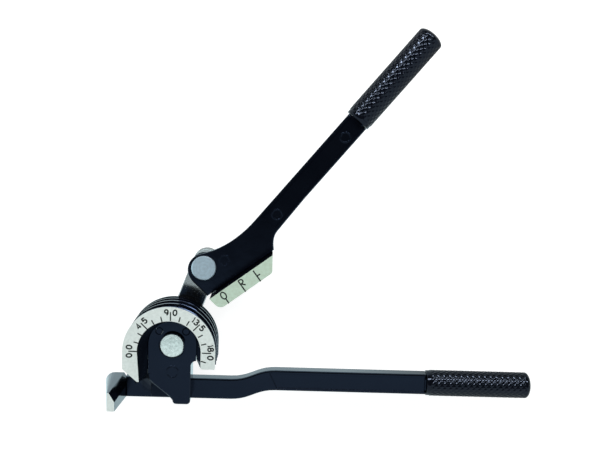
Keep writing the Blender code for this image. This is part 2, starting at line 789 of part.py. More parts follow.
foot_high = arm_low - fit_gap
foot_low = foot_high - shoe_foot_thickness
foot_points = [from_shoe(u, w) for u, w in (
    (shoe_foot_start, shoe_foot_top),
    (shoe_foot_end_gap - shoe_heel_top, shoe_top),
    (shoe_foot_end_gap - shoe_heel_top, shoe_top + overrun),
    (shoe_toe_top - shoe_foot_end_gap - overrun, shoe_top + overrun),
    (shoe_toe_top - shoe_foot_end_gap, shoe_top),
    (shoe_foot_end, shoe_foot_top))]
shoe_foot = make("shoe_foot", loft_mesh([(foot_points, foot_low), (foot_points, foot_high)]), None, upper_pivot)
joined(forming_shoe, shoe_foot, "UNION")


def groove_mesh():
    """Round bars that leave half-round grooves; they lie along the shoe's working edge, dial side first."""
    reach = shoe_toe_top + shoe_heel_top + 2 * overrun
    mesh = bmesh.new()
    height = dial_height - groove_wall
    for tube in tube_sizes:
        radius = tube / 2
        ends = []
        for along in (-shoe_heel_top - overrun, -shoe_heel_top - overrun + reach):
            ring = []
            for step in range(2 * groove_steps):
                angle = full_turn * step / (2 * groove_steps)
                x, y = from_shoe(along, shoe_reach - radius * math.sin(angle))
                ring.append(mesh.verts.new((x, y, height - radius + radius * math.cos(angle))))
            ends.append(ring)
        join_rows(mesh, *ends, 2 * groove_steps)
        mesh.faces.new(ends[0])
        mesh.faces.new(list(reversed(ends[1])))
        height -= tube + groove_wall
    return mesh


joined(forming_shoe, make("shoe_grooves", groove_mesh(), None, upper_pivot), "DIFFERENCE")

# Screws that hold the shoe's foot against the back of the arm
screw_middle = (shoe_foot_top + shoe_top) / 2
screw_places = [
    from_shoe(along, screw_middle) for along in (shoe_foot_start + screw_margin, shoe_foot_end - screw_margin)]
foot_hole_profile = [
    (0, foot_low - overrun),
    (screw_head_radius + fit_gap + overrun, foot_low - overrun),
    (screw_head_radius + fit_gap, foot_low),
    (screw_radius + fit_gap, foot_low + screw_head_sink),
    (screw_radius + fit_gap, foot_high + overrun),
    (0, foot_high + overrun),
]
foot_holes = make("foot_holes", turned_mesh(foot_hole_profile, places=screw_places), None, upper_pivot)
joined(forming_shoe, foot_holes, "DIFFERENCE")
arm_holes = hole_tool(
    "arm_holes", screw_places, arm_low - overrun, foot_low + screw_length + fit_gap, screw_radius + fit_gap,
    upper_pivot)
joined(upper_handle, arm_holes, "DIFFERENCE")
screw_profile = [
    (0, foot_low + screw_socket_depth),
    (screw_socket_radius, foot_low + screw_socket_depth),
    (screw_socket_radius, foot_low),
    (screw_head_radius, foot_low),
    (screw_radius, foot_low + screw_head_sink),
    (screw_radius, foot_low + screw_length),
    (0, foot_low + screw_length),
]
for side, place in zip(("inner", "outer"), screw_places):
    screw = make("shoe_screw_" + side, turned_mesh(screw_profile, round_steps // 2), spring_steel, upper_pivot)
    screw.location = (*place, 0)
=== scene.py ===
"""Looks of a hand lever tube bender: painted castings, bare machined faces, knurled grips and bright pins."""
import math

import bmesh
import bpy
import numpy as np
from mathutils import Matrix, Quaternion, Vector


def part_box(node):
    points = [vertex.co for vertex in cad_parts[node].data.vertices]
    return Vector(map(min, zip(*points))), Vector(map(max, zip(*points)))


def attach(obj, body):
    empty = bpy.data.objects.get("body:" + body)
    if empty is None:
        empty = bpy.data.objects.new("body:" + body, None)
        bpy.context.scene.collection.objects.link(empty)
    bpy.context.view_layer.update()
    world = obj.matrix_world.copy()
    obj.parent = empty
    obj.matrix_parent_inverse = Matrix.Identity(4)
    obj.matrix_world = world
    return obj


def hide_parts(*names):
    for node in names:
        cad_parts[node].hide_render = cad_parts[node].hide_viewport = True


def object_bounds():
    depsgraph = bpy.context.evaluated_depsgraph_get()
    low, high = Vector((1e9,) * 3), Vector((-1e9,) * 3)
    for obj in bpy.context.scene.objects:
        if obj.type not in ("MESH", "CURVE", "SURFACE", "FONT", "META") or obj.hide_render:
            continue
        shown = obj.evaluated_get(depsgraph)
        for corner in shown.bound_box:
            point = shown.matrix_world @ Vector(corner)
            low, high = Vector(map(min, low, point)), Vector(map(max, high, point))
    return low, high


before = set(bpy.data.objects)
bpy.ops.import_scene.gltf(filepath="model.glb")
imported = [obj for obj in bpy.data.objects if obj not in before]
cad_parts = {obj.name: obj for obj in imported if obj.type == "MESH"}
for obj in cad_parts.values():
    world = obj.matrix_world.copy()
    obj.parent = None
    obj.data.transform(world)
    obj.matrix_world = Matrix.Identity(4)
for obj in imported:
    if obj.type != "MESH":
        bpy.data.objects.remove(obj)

cad_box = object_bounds()

# The photograph was taken from above and a little beyond the tool, with a long lens. The tool lies on its
# back on a white table, inside a white light tent that is open at the top, where the camera looks in.
camera_place = (0.06405, 0.15280, 0.57606)
camera_turn = Vector((-0.1272739, -0.0312363, 0.0350464))
lens_length = 50.142
film_width = 36.0
lens = bpy.data.cameras.new("photo_camera")
lens.sensor_width = film_width
lens.lens = lens_length
lens.clip_start = 0.01
camera = bpy.data.objects.new("photo_camera", lens)
bpy.context.scene.collection.objects.link(camera)
camera.location = camera_place
camera.rotation_mode = "QUATERNION"
camera.rotation_quaternion = Quaternion(camera_turn.normalized(), camera_turn.length)
bpy.context.scene.camera = camera
bpy.context.scene.view_settings.view_transform = "Standard"


def add(tree, kind, sockets=(), **settings):
    """Adds a node; sockets maps an input to a value or to another node's output."""
    made = tree.nodes.new(kind)
    for key, value in settings.items():
        setattr(made, key, value)
    for socket, value in dict(sockets).items():
        if isinstance(value, bpy.types.NodeSocket):
            tree.links.new(value, made.inputs[socket])
        else:
            made.inputs[socket].default_value = value
    return made


def sum_of(tree, operation, *values):
    """The output of a Math node on two or three values."""
    return add(tree, "ShaderNodeMath", dict(enumerate(values)), operation=operation).outputs[0]


def steps_of(tree, value, stops):
    """The output colour of a ramp with the given stops, each a place and a grey level."""
    ramp = add(tree, "ShaderNodeValToRGB", {0: value})
    points = ramp.color_ramp.elements
    points.remove(points[1])
    for index, (place, level) in enumerate(stops):
        point = points[0] if index == 0 else points.new(place)
        point.position = place
        point.color = (level, level, level, 1)
    return ramp.outputs[0]


# The light tent: its near walls are a cool white, brightest beside the dark canopy, which hangs over the far
# side and behind the camera.
canopy_middle = (0.0, 0.78, 0.625)
tent_levels = ((0.0, 0.8), (0.3, 0.74), (0.35, 0.78), (0.37, 0.98), (0.43, 1.1), (0.458, 0.14), (0.52, 0.03),
               (1.0, 0.03))
tent_tint = (0.86, 0.98, 1.0, 1)
world = bpy.data.worlds.new("light_tent")
world.use_nodes = True
bpy.context.scene.world = world
air = world.node_tree
air.nodes.clear()
towards = add(air, "ShaderNodeTexCoord").outputs["Generated"]
facing = add(air, "ShaderNodeVectorMath", {0: towards, 1: canopy_middle}, operation="DOT_PRODUCT")
level = steps_of(air, facing.outputs["Value"], tent_levels)
cool = add(air, "ShaderNodeMix", {0: 1.0, 6: level, 7: tent_tint}, data_type="RGBA", blend_type="MULTIPLY")
tent = add(air, "ShaderNodeBackground", {0: cool.outputs[2], 1: 1.0})
white = add(air, "ShaderNodeBackground", {0: (1, 1, 1, 1), 1: 1.0})
ray = add(air, "ShaderNodeLightPath")
choice = add(air, "ShaderNodeMixShader", {
    0: ray.outputs["Is Camera Ray"], 1: tent.outputs[0], 2: white.outputs[0]})
add(air, "ShaderNodeOutputWorld", {0: choice.outputs[0]})

# A long narrow window stands along the far side. It draws the row of glints on each grip.
window_size = (1.5, 0.1)
window_place = (0.02, 0.8, 0.68)
window_power = 17.0
window_target = (0.02, 0.04, 0.02)
lamp = bpy.data.lights.new("far_window", "AREA")
lamp.shape = "RECTANGLE"
lamp.size, lamp.size_y = window_size
lamp.energy = window_power
lamp_object = bpy.data.objects.new("far_window", lamp)
bpy.context.scene.collection.objects.link(lamp_object)
lamp_object.location = window_place
window_aim = Vector(window_target) - Vector(window_place)
lamp_object.rotation_euler = window_aim.to_track_quat("-Z", "Y").to_euler()

# The white table top, lit from below. The camera sees it burnt out to white. Gloss paint mirrors it as a cool
# white that falls into shade beyond the tool's far side and its right side.
table_drop = 0.0003
table_half = 3.0
table_grey = 0.3
seen_glow = (0.9, 0.9, 0.9, 1)
mirrored_glow = (0.86, 1.14, 1.2, 1)
shade_starts = (0.12, 0.11)
shade_length = 0.09
least_glow = 0.15


def put(name, points, faces, closed=True, smooth=True):
    """A mesh object at the origin from points and lists of corner numbers. A closed one is turned outwards."""
    data = bpy.data.meshes.new(name)
    data.from_pydata(np.asarray(points, float).tolist(), [], faces)
    if closed:
        mesh = bmesh.new()
        mesh.from_mesh(data)
        bmesh.ops.recalc_face_normals(mesh, faces=mesh.faces)
        mesh.to_mesh(data)
        mesh.free()
    if smooth:
        data.shade_smooth()
    made = bpy.data.objects.new(name, data)
    bpy.context.scene.collection.objects.link(made)
    return made


def finish_named(name):
    """A new material with its node tree and its shader node."""
    made = bpy.data.materials.new(name)
    made.use_nodes = True
    return made, made.node_tree, made.node_tree.nodes["Principled BSDF"]


corner_signs = np.array([[-1, -1], [1, -1], [1, 1], [-1, 1]])
table_points = np.column_stack([corner_signs * table_half, np.full(4, cad_box[0].z - table_drop)])
table = put("white_table", table_points, [[0, 1, 2, 3]], closed=False, smooth=False)
table_finish, tree, shader = finish_named("white_table_top")
tree.nodes.clear()
ray = add(tree, "ShaderNodeLightPath")
seen = sum_of(tree, "MAXIMUM", ray.outputs["Is Camera Ray"], ray.outputs["Is Transmission Ray"])
apart = add(tree, "ShaderNodeSeparateXYZ", {0: add(tree, "ShaderNodeNewGeometry").outputs["Position"]})
falls = []
for axis, start in enumerate(shade_starts):
    left_over = sum_of(tree, "SUBTRACT", start + shade_length, apart.outputs[axis])
    fall = sum_of(tree, "DIVIDE", left_over, shade_length)
    falls.append(add(tree, "ShaderNodeClamp", {0: fall, 1: least_glow}).outputs[0])
shade = sum_of(tree, "MULTIPLY", *falls)
mirrored = add(tree, "ShaderNodeEmission", {
    0: mirrored_glow, 1: sum_of(tree, "MULTIPLY", ray.outputs["Is Glossy Ray"], shade)})
direct = add(tree, "ShaderNodeEmission", {0: seen_glow, 1: seen})
glow = add(tree, "ShaderNodeAddShader", {0: mirrored.outputs[0], 1: direct.outputs[0]})
matt = add(tree, "ShaderNodeBsdfDiffuse", {0: (table_grey, table_grey, table_grey, 1)})
both = add(tree, "ShaderNodeAddShader", {0: glow.outputs[0], 1: matt.outputs[0]})
add(tree, "ShaderNodeOutputMaterial", {0: both.outputs[0]})
table.data.materials.append(table_finish)

# The castings: both handles, the wheel and the shoe are sprayed with black gloss enamel and baked. After
# painting, the faces that carry the scales are machined, so they are bare metal with fine cutter lines. The
# dowels are set before the spray and take the same enamel.
enamel_colour = (0.0012, 0.0016, 0.003, 1)
enamel_cloud_colour = (0.002, 0.0026, 0.0045, 1)
enamel_glint = (0.4, 0.58, 1.0, 1)
bare_wheel = ((0.84, 0.88, 0.84, 1), (0.74, 0.78, 0.74, 1))
bare_shoe = ((0.6, 0.73, 0.6, 1), (0.54, 0.64, 0.51, 1))
dull_zinc = (0.17, 0.185, 0.18, 1)
dial_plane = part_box("forming_wheel")[1].z
bare_depth = 0.00006
bare_metallic = 0.6
hub_boss_top = 0.0222
dull_low = (-0.022, -0.06, 0.0142)
dull_high = (-0.003, -0.021, 0.0288)
dull_extra, turned_extra = 0.3, 0.4
enamel_rough, enamel_rough_drift = 0.11, 0.08
metal_rough, metal_rough_drift = 0.42, 0.12
cutter_pitch = 0.00028
mill_direction = (0.799, 0.602)
flow_scale, peel_scale, dust_scale = 70.0, 650.0, 2600.0
flow_relief, peel_relief = 3.0, 0.25
cutter_relief, dust_relief = 0.06, 0.2
relief_depth = 0.00005
gloss_index = 1.42


def noise(tree, place, scale, detail):
    """The output of a cloudy pattern at a place."""
    return add(tree, "ShaderNodeTexNoise", {"Vector": place, "Scale": scale, "Detail": detail}).outputs[0]


def waves(tree, phase, pitch):
    """The sine of a length in metres, with one wave to each pitch."""
    return sum_of(tree, "SINE", sum_of(tree, "MULTIPLY", phase, 2 * math.pi / pitch))


def blend_of(tree, share, first, second):
    """The output of a mix of two colours: the first where share is 0, the second where it is 1."""
    return add(tree, "ShaderNodeMix", {0: share, 6: first, 7: second}, data_type="RGBA").outputs[2]


def roughen(tree, shader, height, strength, depth):
    """Gives the shader a bump of the given depth from a height pattern."""
    bump = add(tree, "ShaderNodeBump", {"Height": height, "Strength": strength, "Distance": depth})
    tree.links.new(bump.outputs[0], shader.inputs["Normal"])


def enamel(name, cutter_line, bare_colours, boss_top=0.0):
    """Black baked enamel, bare metal above the dial plane. cutter_line(tree, place) gives the phase of its lines.
    In the corner between the leg and the bar, which the spray hardly reaches, the enamel dries dull. Below
    boss_top the turned side of a boss stays bare."""
    made, tree, shader = finish_named(name)
    place = add(tree, "ShaderNodeTexCoord").outputs["Object"]
    apart = add(tree, "ShaderNodeSeparateXYZ", {0: place})
    bare = sum_of(tree, "GREATER_THAN", apart.outputs[2], dial_plane - bare_depth)
    flow = noise(tree, place, flow_scale, 2.0)
    peel = noise(tree, place, peel_scale, 3.0)
    dust = noise(tree, place, dust_scale, 2.0)
    lines = waves(tree, cutter_line(tree, apart), cutter_pitch)
    turned_side = sum_of(tree, "LESS_THAN", apart.outputs[2], boss_top)
    painted = blend_of(tree, flow, enamel_colour, enamel_cloud_colour)
    mottle = steps_of(tree, peel, ((0.3, 0.0), (0.7, 1.0)))
    metal = blend_of(tree, mottle, *bare_colours)
    colour = blend_of(tree, turned_side, blend_of(tree, bare, painted, metal), dull_zinc)
    tree.links.new(colour, shader.inputs["Base Color"])
    tree.links.new(sum_of(tree, "MULTIPLY", bare, bare_metallic), shader.inputs["Metallic"])
    smooth_paint = sum_of(tree, "MULTIPLY_ADD", flow, enamel_rough_drift, enamel_rough)
    dull = 1.0
    for test, limits in (("LESS_THAN", dull_high), ("GREATER_THAN", dull_low)):
        for axis, limit in enumerate(limits):
            dull = sum_of(tree, "MULTIPLY", dull, sum_of(tree, test, apart.outputs[axis], limit))
    smooth_paint = sum_of(tree, "MULTIPLY_ADD", dull, dull_extra, smooth_paint)
    smooth_paint = sum_of(tree, "MULTIPLY_ADD", turned_side, turned_extra, smooth_paint)
    rough_metal = sum_of(tree, "MULTIPLY_ADD", dust, metal_rough_drift, metal_rough)
    rough = add(tree, "ShaderNodeMix", {0: bare, 2: smooth_paint, 3: rough_metal}, data_type="FLOAT")
    tree.links.new(rough.outputs[0], shader.inputs["Roughness"])
    paint_relief = sum_of(tree, "MULTIPLY_ADD", flow, flow_relief, sum_of(tree, "MULTIPLY", peel, peel_relief))
    metal_relief = sum_of(tree, "MULTIPLY_ADD", lines, cutter_relief, sum_of(tree, "MULTIPLY", dust, dust_relief))
    relief = add(tree, "ShaderNodeMix", {0: bare, 2: paint_relief, 3: metal_relief}, data_type="FLOAT")
    roughen(tree, shader, relief.outputs[0], 0.6, relief_depth)
    shader.inputs["IOR"].default_value = gloss_index
    shader.inputs["Specular Tint"].default_value = enamel_glint
    return made


def round_lines(tree, apart):
    """Lathe lines: their phase is the distance from the wheel's axis."""
    squares = [sum_of(tree, "MULTIPLY", apart.outputs[axis], apart.outputs[axis]) for axis in (0, 1)]
    return sum_of(tree, "SQRT", sum_of(tree, "ADD", *squares))


def slant_lines(tree, apart):
    """Mill lines across the shoe: their phase runs along its working edge."""
    along = sum_of(tree, "MULTIPLY", apart.outputs[0], mill_direction[0])
    return sum_of(tree, "MULTIPLY_ADD", apart.outputs[1], mill_direction[1], along)


def dress(node, finish):
    """Gives a CAD node a finish in all its material slots."""
    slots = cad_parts[node].data.materials
    for index in range(max(1, len(slots))):
        if index < len(slots):
            slots[index] = finish
        else:
            slots.append(finish)


dress("forming_wheel", enamel("enamel_wheel", round_lines, bare_wheel))
lower_enamel = enamel("enamel_lower_handle", slant_lines, bare_wheel)
for node in ("lower_handle", "wheel_dowel_left", "wheel_dowel_right"):
    dress(node, lower_enamel)
upper_enamel = enamel("enamel_upper_handle", slant_lines, bare_shoe, boss_top=hub_boss_top)
dress("upper_handle", upper_enamel)
dress("forming_shoe", enamel("enamel_shoe", slant_lines, bare_shoe))

# Marks of the ejector pins on the castings: each is a low round lip left by the die and painted over. One is
# on the leg and three on the upper handle, two of them in its panel.
lip_radius = 0.0033
lip_width = 0.0011
lip_height = 0.00013
lip_sink = 0.0003
leg_mark_radius = 0.0038
panel_depth = 0.0009
mark_grid = 64
lip_rows = 9


def lip(name, middle, level, radius, finish):
    """A ring whose height over the face is a half wave of the distance from its own mean radius."""
    angle = np.arange(mark_grid) * 2 * math.pi / mark_grid
    across = np.linspace(-0.5, 0.5, lip_rows)
    height = np.concatenate([[-lip_sink], lip_height * np.cos(across * math.pi), [-lip_sink]])
    offset = lip_width * np.concatenate([[-0.5], across, [0.5]])
    reach = (radius + offset)[:, None]
    points = np.stack([middle[0] + reach * np.cos(angle), middle[1] + reach * np.sin(angle),
                       np.repeat(level + height[:, None], mark_grid, axis=1)], axis=-1).reshape(-1, 3)
    row, column = np.meshgrid(np.arange(len(height)), np.arange(mark_grid), indexing="ij")
    next_row, after = (row + 1) % len(height), (column + 1) % mark_grid
    faces = np.stack([row * mark_grid + column, next_row * mark_grid + column,
                      next_row * mark_grid + after, row * mark_grid + after], axis=-1).reshape(-1, 4)
    made = put(name, points, faces.tolist())
    made.data.materials.append(finish)
    return made


leg_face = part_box("wheel_dowel_left")[1].z
arm_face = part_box("upper_handle")[1].z
panel_face = arm_face - panel_depth
for mark_name, middle, level, radius, body, paint_finish in (
        ("leg_ejector_mark", (0.0003, -0.0193), leg_face, leg_mark_radius, "lower", lower_enamel),
        ("root_ejector_mark", (0.0335, 0.0586), arm_face, lip_radius, "upper", upper_enamel),
        ("panel_ejector_mark_low", (0.0671, 0.0902), panel_face, lip_radius, "upper", upper_enamel),
        ("panel_ejector_mark_high", (0.1098, 0.1420), panel_face, lip_radius, "upper", upper_enamel)):
    lip_mark = lip(mark_name, middle, level, radius, paint_finish)
    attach(lip_mark, body)

# The grips: black plastic sleeves moulded with a coarse diamond pattern between a plain collar and a domed
# end, pushed over the tangs. Each takes the place of its plain solid.
grip_radius = 0.009
grip_length = 0.074
grip_bore = 0.0071
grip_end_wall = 0.005
collar_radius = 0.00865
collar_length = 0.0026
collar_chamfer = 0.0003
collar_step = 0.0002
end_height = 0.0037
end_fullness = 0.9
end_rows = 25
diamond_length = 0.0041
diamonds_round = 16
diamond_depth = 0.0003
valley_share = 0.7
pattern_fade = 0.0012
grid_round = 256
grid_along = 288
grip_colour, grip_cloud_colour = (0.0012, 0.0016, 0.003, 1), (0.003, 0.0036, 0.006, 1)
grip_glint = (0.56, 0.68, 0.92, 1)
grip_rough, grip_rough_drift = 0.07, 0.06
grip_cloud_scale, grip_grain_scale = 120.0, 1800.0
grip_grain_depth = 0.00001


def valley(phase):
    """Depth of one family of helical valleys: 1 on the valley line, falling smoothly to 0 on the diamonds."""
    off_line = 2 * np.abs(phase - np.round(phase))
    share = np.clip((valley_share - off_line) / valley_share, 0, 1)
    return share * share * (3 - 2 * share)


def sleeve_profile():
    """Rows of (place along the axis, radius, share of the pattern) from the bore's end, round the open
    end, along the outside and over the domed end, nearly half an ellipse, to its pole."""
    inside = [(grip_length - grip_end_wall, 0, 0), (grip_length - grip_end_wall, grip_bore, 0), (0, grip_bore, 0)]
    collar = [(0, collar_radius - collar_chamfer, 0), (collar_chamfer, collar_radius, 0),
              (collar_length, collar_radius, 0)]
    body_end = grip_length - end_height
    along = np.linspace(collar_length + collar_step, body_end, grid_along)
    fade = np.clip(np.minimum((along - along[0]) / pattern_fade, (body_end - along) / pattern_fade), 0, 1)
    body = np.column_stack([along, np.full(grid_along, grip_radius), fade])
    turn = np.linspace(0, math.pi / 2, end_rows)[1:]
    dome_radius = grip_radius * np.cos(turn) ** end_fullness
    dome = np.column_stack([body_end + end_height * np.sin(turn), dome_radius, 0 * turn])
    return np.vstack([inside, collar, body, dome])


def revolved(name, rows, radius_at, to_world):
    """A closed surface: each row is carried round the axis at radius_at(row, angle); end rows are poles."""
    angle = np.arange(grid_round) * 2 * math.pi / grid_round
    radius = radius_at(rows, angle)
    along = np.repeat(rows[1:-1, :1], grid_round, axis=1)
    ring = np.stack([along, radius * np.cos(angle), radius * np.sin(angle)], axis=-1).reshape(-1, 3)
    poles = np.array([[rows[0, 0], 0, 0], [rows[-1, 0], 0, 0]])
    points = np.vstack([ring, poles])
    count = len(rows) - 2
    row, column = np.meshgrid(np.arange(count - 1), np.arange(grid_round), indexing="ij")
    after = (column + 1) % grid_round
    quads = np.stack([
        row * grid_round + column, row * grid_round + after,
        (row + 1) * grid_round + after, (row + 1) * grid_round + column], axis=-1).reshape(-1, 4)
    column = np.arange(grid_round)
    after = (column + 1) % grid_round
    first = np.stack([np.full(grid_round, len(ring)), after, column], axis=-1)
    last_row = (count - 1) * grid_round
    last = np.stack([np.full(grid_round, len(ring) + 1), last_row + column, last_row + after], axis=-1)
    made = put(name, points, quads.tolist() + first.tolist() + last.tolist())
    made.data.transform(to_world)
    made.data.set_sharp_from_angle(angle=math.radians(60))
    return made


def knurled_radius(rows, angle):
    """The row's radius less the deeper of two crossing helical valleys, times the row's pattern share."""
    around = diamonds_round * angle[None, :] / (2 * math.pi)
    along = rows[1:-1, :1] / diamond_length
    depth = np.maximum(valley(around + along), valley(around - along))
    return rows[1:-1, 1:2] - diamond_depth * rows[1:-1, 2:3] * depth


grip_finish, tree, shader = finish_named("grip_black_plastic")
place = add(tree, "ShaderNodeTexCoord").outputs["Object"]
cloud = noise(tree, place, grip_cloud_scale, 3.0)
grain = noise(tree, place, grip_grain_scale, 2.0)
tree.links.new(blend_of(tree, cloud, grip_colour, grip_cloud_colour), shader.inputs["Base Color"])
tree.links.new(sum_of(tree, "MULTIPLY_ADD", cloud, grip_rough_drift, grip_rough), shader.inputs["Roughness"])
roughen(tree, shader, grain, 0.1, grip_grain_depth)
shader.inputs["IOR"].default_value = gloss_index
shader.inputs["Specular Tint"].default_value = grip_glint

arm_angle = 50.6
upper_pivot = Vector((0.0201015, 0.0533379, 0))
lower_grip_place = Matrix.Translation((0.1755, -0.0280, 0.009))
upper_grip_place = (Matrix.Translation(upper_pivot) @ Matrix.Rotation(math.radians(arm_angle), 4, "Z")
                    @ Matrix.Translation((0.1388, -0.012, 0.0274)))
sleeve_rows = sleeve_profile()
for grip_name, body, grip_place in (
        ("lower_grip", "lower", lower_grip_place), ("upper_grip", "upper", upper_grip_place)):
    sleeve = revolved(grip_name + "_knurled", sleeve_rows, knurled_radius, grip_place)
    sleeve.data.materials.append(grip_finish)
    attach(sleeve, body)
    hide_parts(grip_name)

# The pivot pins: turned from bright bar, with a flat head that shows fine and wide lathe rings. The upper head is
# zinc plated, which makes it a little bluer and rougher; its darker colour is painted shade for the dark canopy
# it mirrors.
ring_pitch, wide_pitch = 0.00045, 0.0021
pin_cloud_scale = 500.0
cloud_contrast, cloud_offset, wide_contrast = 1.4, -0.25, 0.1
shaded_share = 0.72
pin_rough_drift = 0.14
cloud_relief, ring_relief = 0.3, 0.12
pin_relief_depth = 0.00003


def turned_steel(name, axis_place, colour, rough, metallic):
    """Turned steel: rings round an axis at axis_place in the plan, with a cloudy grain."""
    made, tree, shader = finish_named(name)
    place = add(tree, "ShaderNodeTexCoord").outputs["Object"]
    centred = add(tree, "ShaderNodeMapping", {"Vector": place, "Location": (-axis_place[0], -axis_place[1], 0)})
    apart = add(tree, "ShaderNodeSeparateXYZ", {0: centred.outputs[0]})
    distance = round_lines(tree, apart)
    rings, wide = waves(tree, distance, ring_pitch), waves(tree, distance, wide_pitch)
    cloud = noise(tree, place, pin_cloud_scale, 4.0)
    clouded = sum_of(tree, "MULTIPLY_ADD", cloud, cloud_contrast, cloud_offset)
    shade = sum_of(tree, "MULTIPLY_ADD", wide, wide_contrast, clouded)
    mixed = blend_of(tree, shade, (*colour, 1), (*[level * shaded_share for level in colour], 1))
    tree.links.new(mixed, shader.inputs["Base Color"])
    tree.links.new(sum_of(tree, "MULTIPLY_ADD", cloud, pin_rough_drift, rough), shader.inputs["Roughness"])
    height = sum_of(tree, "MULTIPLY_ADD", cloud, cloud_relief, sum_of(tree, "MULTIPLY", rings, ring_relief))
    roughen(tree, shader, height, 0.35, pin_relief_depth)
    shader.inputs["Metallic"].default_value = metallic
    return made


main_steel = turned_steel("main_pin_steel", (0, 0), (0.9, 1.0, 0.97), 0.12, 0.85)
# The upper pin's colour is set darker than the main pin's: painted shade.
upper_pin_shaded_steel = turned_steel("upper_pin_steel_painted_shade", upper_pivot, (0.56, 0.7, 0.8), 0.26, 0.75)
dress("main_pivot_pin", main_steel)
dress("upper_pivot_pin", upper_pin_shaded_steel)

# The link: a flat steel bar with round ends, ground along its length and bright zinc plated. Its sides and the
# washers are duller than its ground face.
link_turn = math.radians(69.35)
link_edge = 0.0003
link_colour, link_cloud_colour = (0.72, 0.75, 0.76, 1), (0.62, 0.66, 0.68, 1)
link_cloud_scale = 160.0
grind_scale = (60, 1600, 60)
link_rough, link_rough_drift, side_extra = 0.12, 0.05, 0.4
grind_depth = 0.00001
link_finish, tree, shader = finish_named("link_zinc_plate")
place = add(tree, "ShaderNodeTexCoord").outputs["Object"]
turned = add(tree, "ShaderNodeMapping", {"Vector": place, "Rotation": (0, 0, -link_turn), "Scale": grind_scale})
grain = noise(tree, turned.outputs[0], 1.0, 3.0)
cloud = noise(tree, place, link_cloud_scale, 3.0)
plated = blend_of(tree, cloud, link_colour, link_cloud_colour)
apart = add(tree, "ShaderNodeSeparateXYZ", {0: place})
face = sum_of(tree, "GREATER_THAN", apart.outputs[2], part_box("link_arm")[1].z - link_edge)
tree.links.new(blend_of(tree, face, dull_zinc, plated), shader.inputs["Base Color"])
smooth_face = sum_of(tree, "MULTIPLY_ADD", cloud, link_rough_drift, link_rough)
rough = sum_of(tree, "MULTIPLY_ADD", sum_of(tree, "SUBTRACT", 1.0, face), side_extra, smooth_face)
tree.links.new(rough, shader.inputs["Roughness"])
roughen(tree, shader, grain, 0.05, grind_depth)
tree.links.new(face, shader.inputs["Metallic"])
dress("link_arm", link_finish)
for node in ("main_inner_washer", "main_outer_washer", "upper_inner_washer", "upper_outer_washer"):
    dress(node, link_finish)

# The retaining rings on the pins' ends and the screws that hold the shoe: hardened steel, blackened in an oil
# bath, which leaves it cloudy and half dull.
dark_colour, dark_cloud_colour = (0.012, 0.014, 0.02, 1), (0.03, 0.032, 0.04, 1)
dark_cloud_scale = 700.0
dark_rough, dark_rough_drift = 0.25, 0.2
dark_relief_depth = 0.00003
dark_metallic = 0.6
dark_steel, tree, shader = finish_named("blackened_steel")
place = add(tree, "ShaderNodeTexCoord").outputs["Object"]
cloud = noise(tree, place, dark_cloud_scale, 4.0)
tree.links.new(blend_of(tree, cloud, dark_colour, dark_cloud_colour), shader.inputs["Base Color"])
tree.links.new(sum_of(tree, "MULTIPLY_ADD", cloud, dark_rough_drift, dark_rough), shader.inputs["Roughness"])
roughen(tree, shader, cloud, 0.2, dark_relief_depth)
shader.inputs["Metallic"].default_value = dark_metallic
for node in ("main_retaining_ring", "upper_retaining_ring", "shoe_screw_inner", "shoe_screw_outer"):
    dress(node, dark_steel)

# The scale on the dial: ticks every 15 degrees and numbers every 45, stamped into the bare face and filled
# with dark lacquer. Numbers straddle their tick and stand with their heads outwards.
scale_centre = np.array([0.0007, 0.0001])
tick_inner = 0.0208
tick_short = 0.0242
tick_long = 0.0267
number_middle = 0.0264
number_size = (0.0023, 0.0035)
tick_width = 0.00078
stroke_width = 0.00092
mark_rise = 0.00004
mark_sink = 0.00008
last_angle, tick_step, number_step = 195, 15, 45
lacquer_colour, lacquer_cloud_colour = (0.003, 0.005, 0.005, 1), (0.014, 0.018, 0.017, 1)
lacquer_cloud_scale = 900.0
lacquer_rough, lacquer_rough_drift = 0.6, 0.2
lacquer_index = 1.3


def arc_points(centre_x, centre_y, half_x, half_y, start, end, count=14):
    """Points on an ellipse from the start to the end angle in degrees."""
    angle = np.radians(np.linspace(start, end, count))
    return np.column_stack([centre_x + half_x * np.cos(angle), centre_y + half_y * np.sin(angle)])


glyphs = {
    "0": [arc_points(0, 0.5, 0.5, 0.5, 90, 450, 29)],
    "1": [np.array([[-0.12, 0.8], [0.05, 1.0], [0.05, 0.0]])],
    "3": [np.vstack([arc_points(-0.05, 0.76, 0.45, 0.24, 150, -80),
                     arc_points(-0.05, 0.27, 0.52, 0.27, 80, -155)])],
    "4": [np.array([[0.22, 0.0], [0.22, 1.0], [-0.5, 0.28], [0.5, 0.28]])],
    "5": [np.vstack([[[0.42, 1.0], [-0.38, 1.0], [-0.44, 0.55]],
                     arc_points(-0.02, 0.31, 0.5, 0.31, 130, -145)])],
    "8": [arc_points(0, 0.77, 0.4, 0.23, 90, 450, 25), arc_points(0, 0.27, 0.5, 0.27, 90, 450, 25)],
    "9": [arc_points(0, 0.7, 0.46, 0.3, 0, 360, 25), np.array([[0.46, 0.7], [0.4, 0.3], [0.0, 0.0]])],
}


